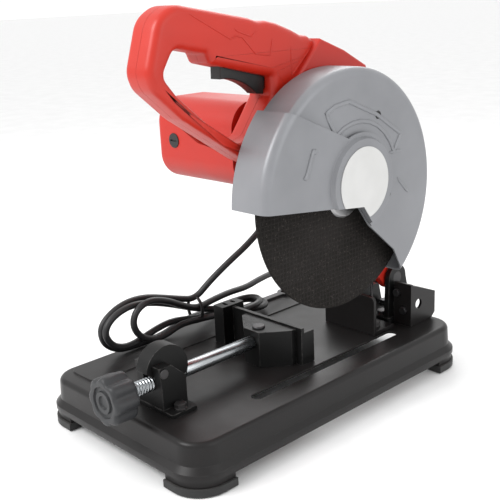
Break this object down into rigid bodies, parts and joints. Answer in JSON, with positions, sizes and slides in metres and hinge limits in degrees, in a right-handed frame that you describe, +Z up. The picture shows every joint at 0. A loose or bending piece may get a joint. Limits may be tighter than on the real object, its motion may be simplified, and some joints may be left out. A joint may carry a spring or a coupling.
{
  "type": "abrasive chop saw",
  "caption": "Bench abrasive chop saw: a sprung arm with a motor, a guarded cutting wheel and a D-handle over a pressed steel base with a screw vise and fence.",
  "frame": {"origin": "middle of the base, on the floor that the rubber feet stand on", "axes": "+Z up, +Y to the back of the saw, where the arm's pivot is, +X to the side that the wheel is on"},
  "size_m": [0.2887, 0.5157, 0.4038],
  "materials": {
    "base_black": "black semi-gloss paint on pressed sheet steel",
    "foot_rubber": "matte black rubber",
    "vise_black": "black paint, slightly worn at the edges",
    "bolt_steel": "blackened and zinc-plated steel fasteners",
    "spring_steel": "drawn spring wire",
    "screw_chrome": "bright plated steel rod with a rolled thread",
    "knob_plastic": "dark grey moulded plastic",
    "housing_red": "orange-red moulded plastic, fine grain",
    "handle_red": "orange-red moulded plastic, fine grain",
    "bush_brass": "sintered bronze",
    "stator_steel": "laminated electrical steel",
    "cap_black": "black moulded plastic",
    "brush_carbon": "pressed carbon",
    "bearing_steel": "ground bearing steel",
    "shaft_steel": "turned and cut steel",
    "commutator_copper": "turned copper segments",
    "fan_plastic": "moulded nylon",
    "flange_steel": "turned steel, dull",
    "wheel_abrasive": "dark brown-black bonded abrasive with glass net",
    "guard_silver": "silver-grey hammer-fine paint",
    "label_white": "plain white label",
    "trigger_black": "black moulded plastic",
    "cord_black": "black vinyl sheath",
    "cord_rubber": "black moulded rubber",
    "pin_brass": "nickel-brass pins"
  },
  "bodies": {
    "base": {"base_plate": "base_black", "rubber_feet": "foot_rubber", "base_bolts": "bolt_steel", "pivot_bracket": "vise_black", "stop_plate": "vise_black", "stop_plate_bolts": "bolt_steel", "pivot_pin": "bolt_steel", "return_spring": "spring_steel", "vise_holder": "vise_black", "half_nut_pin": "bolt_steel", "wheel_spanner": "bolt_steel", "cord_lead": "cord_black", "cord_tail": "cord_black", "cord_hank": "cord_black", "cord_tie": "cord_rubber", "cord_coil": "cord_black", "plug_body": "cord_rubber", "plug_pins": "pin_brass"},
    "fence": {"fence": "vise_black"},
    "half_nut": {"half_nut": "vise_black"},
    "jaw": {"jaw_body": "vise_black", "jaw_set_screw": "bolt_steel", "jaw_face_plate": "vise_black", "jaw_plate_screws": "bolt_steel"},
    "screw": {"vise_screw": "screw_chrome", "vise_knob": "knob_plastic"},
    "arm": {"gear_housing": "housing_red", "bearing_plate": "housing_red", "housing_screws": "bolt_steel", "pivot_bushes": "bush_brass", "motor_housing": "housing_red", "end_cap": "housing_red", "stator": "stator_steel", "brush_caps": "cap_black", "brushes": "brush_carbon", "ball_bearings": "bearing_steel", "guard_main": "guard_silver", "guard_screws": "bolt_steel", "cover_pivot": "bolt_steel", "handle_left": "handle_red", "handle_right": "handle_red", "handle_screws": "bolt_steel", "trigger_pin": "bolt_steel", "switch_body": "cap_black", "trigger_spring": "spring_steel", "cord_gland": "cord_rubber"},
    "trigger": {"trigger": "trigger_black"},
    "cover": {"guard_cover": "guard_silver", "hub_label": "label_white"},
    "spindle": {"spindle": "shaft_steel", "spindle_gear": "shaft_steel", "inner_flange": "flange_steel", "wheel": "wheel_abrasive", "outer_flange": "flange_steel", "clamp_bolt": "bolt_steel"},
    "armature": {"armature_shaft": "shaft_steel", "armature_core": "stator_steel", "commutator": "commutator_copper", "fan": "fan_plastic", "pinion": "shaft_steel"}
  },
  "joints": [
    {"name": "arm_pivot", "type": "hinge", "parent": "base", "child": "arm", "pos_m": [0.036, 0.155, 0.098], "axis": [1, 0, 0], "range_deg": [0, 27.5], "stiffness_Nm_per_rad": 18, "springref_deg": -25.78, "deforming": ["return_spring"]},
    {"name": "fence_swivel", "type": "hinge", "parent": "base", "child": "fence", "pos_m": [0.06, 0.114, 0.05], "axis": [0, 0, 1], "range_deg": [0, 15]},
    {"name": "half_nut_lift", "type": "hinge", "parent": "base", "child": "half_nut", "pos_m": [0.026, -0.165, 0.087], "axis": [1, 0, 0], "range_deg": [0, 35]},
    {"name": "jaw_slide", "type": "slide", "parent": "base", "child": "jaw", "axis": [0, 1, 0], "range_m": [-0.086, 0.014]},
    {"name": "screw_spin", "type": "hinge", "parent": "jaw", "child": "screw", "pos_m": [0.026, -0.12, 0.073], "axis": [0, 1, 0], "range_deg": [-10321, 1681]},
    {"name": "trigger_pull", "type": "hinge", "parent": "arm", "child": "trigger", "pos_m": [0.036, -0.028, 0.344], "axis": [-1, 0, 0], "range_deg": [0, 8], "stiffness_Nm_per_rad": 0.5, "springref_deg": -11.46, "deforming": ["trigger_spring"]},
    {"name": "cover_swing", "type": "hinge", "parent": "arm", "child": "cover", "pos_m": [0.1, 0.041, 0.232], "axis": [-1, 0, 0], "range_deg": [0, 60]},
    {"name": "wheel_spin", "type": "hinge", "parent": "arm", "child": "spindle", "pos_m": [0.0805, 0.037, 0.22], "axis": [1, 0, 0], "continuous": true},
    {"name": "motor_spin", "type": "hinge", "parent": "arm", "child": "armature", "pos_m": [-0.037, 0, 0.26912], "axis": [1, 0, 0], "continuous": true}
  ],
  "couplings": [
    {"joint": "screw_spin", "follows": "jaw_slide", "rad_per_m": 2094.4},
    {"joint": "motor_spin", "follows": "wheel_spin", "ratio": -4.8571}
  ]
}
